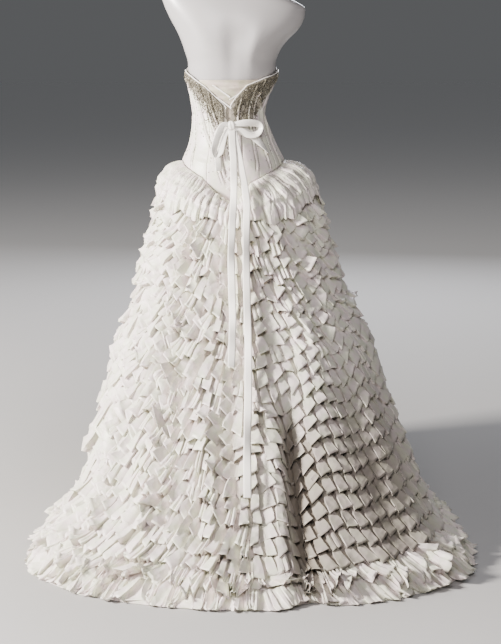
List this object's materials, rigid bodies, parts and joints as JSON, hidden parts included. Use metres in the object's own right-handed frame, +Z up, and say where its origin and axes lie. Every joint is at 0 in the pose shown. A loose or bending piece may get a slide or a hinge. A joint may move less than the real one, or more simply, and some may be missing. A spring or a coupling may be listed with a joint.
{
  "type": "wedding dress on dress form",
  "caption": "Strapless laced wedding dress with a bow at the back and a trained skirt of pleated frills, standing on a smooth limbless dress form.",
  "frame": {"origin": "on the floor, where the axis of the stand's pole meets the underside of the round base", "axes": "+Z up along the pole, -Y toward the front of the dress, +Y toward the train, +X toward the wearer's left"},
  "size_m": [1.2434, 1.5676, 1.6191],
  "materials": {
    "silk_taffeta": "white silk taffeta with a soft sheen",
    "satin_ribbon": "white satin ribbon",
    "beaded_lace": "grey-green lace sewn with beads",
    "white_lacquer": "smooth white satin lacquer",
    "painted_steel": "white enamel"
  },
  "bodies": {
    "root": {"bodice_back_left": "silk_taffeta", "bodice_back_right": "silk_taffeta", "bodice_centre_front": "silk_taffeta", "bodice_front_left": "silk_taffeta", "bodice_front_right": "silk_taffeta", "bodice_piping": "satin_ribbon", "bodice_side_back_left": "silk_taffeta", "bodice_side_back_right": "silk_taffeta", "bodice_side_left": "silk_taffeta", "bodice_side_right": "silk_taffeta", "bow_end_left": "satin_ribbon", "bow_end_right": "satin_ribbon", "bow_knot": "satin_ribbon", "bow_loop_left": "satin_ribbon", "bow_loop_right": "satin_ribbon", "form_torso": "white_lacquer", "frill_01": "silk_taffeta", "frill_02": "silk_taffeta", "frill_03": "silk_taffeta", "frill_04": "silk_taffeta", "frill_05": "silk_taffeta", "frill_06": "silk_taffeta", "frill_07": "silk_taffeta", "frill_08": "silk_taffeta", "frill_09": "silk_taffeta", "frill_10": "silk_taffeta", "frill_11": "silk_taffeta", "frill_12": "silk_taffeta", "frill_13": "silk_taffeta", "frill_14": "silk_taffeta", "frill_15": "silk_taffeta", "frill_16": "silk_taffeta", "frill_17": "silk_taffeta", "frill_18": "silk_taffeta", "frill_19": "silk_taffeta", "frill_20": "silk_taffeta", "frill_21": "silk_taffeta", "frill_22": "silk_taffeta", "frill_23": "silk_taffeta", "frill_24": "silk_taffeta", "gore_back_left": "silk_taffeta", "gore_back_right": "silk_taffeta", "gore_front_left": "silk_taffeta", "gore_front_right": "silk_taffeta", "gore_side_back_left": "silk_taffeta", "gore_side_back_right": "silk_taffeta", "gore_side_front_left": "silk_taffeta", "gore_side_front_right": "silk_taffeta", "hip_flounce": "silk_taffeta", "lace_band_left": "beaded_lace", "lace_band_right": "beaded_lace", "lacing_inner": "satin_ribbon", "lacing_outer": "satin_ribbon", "modesty_panel": "silk_taffeta", "ribbon_end_left": "satin_ribbon", "ribbon_end_right": "satin_ribbon", "stand_base": "painted_steel", "stand_flange": "painted_steel", "stand_pole": "painted_steel"}
  },
  "joints": []
}
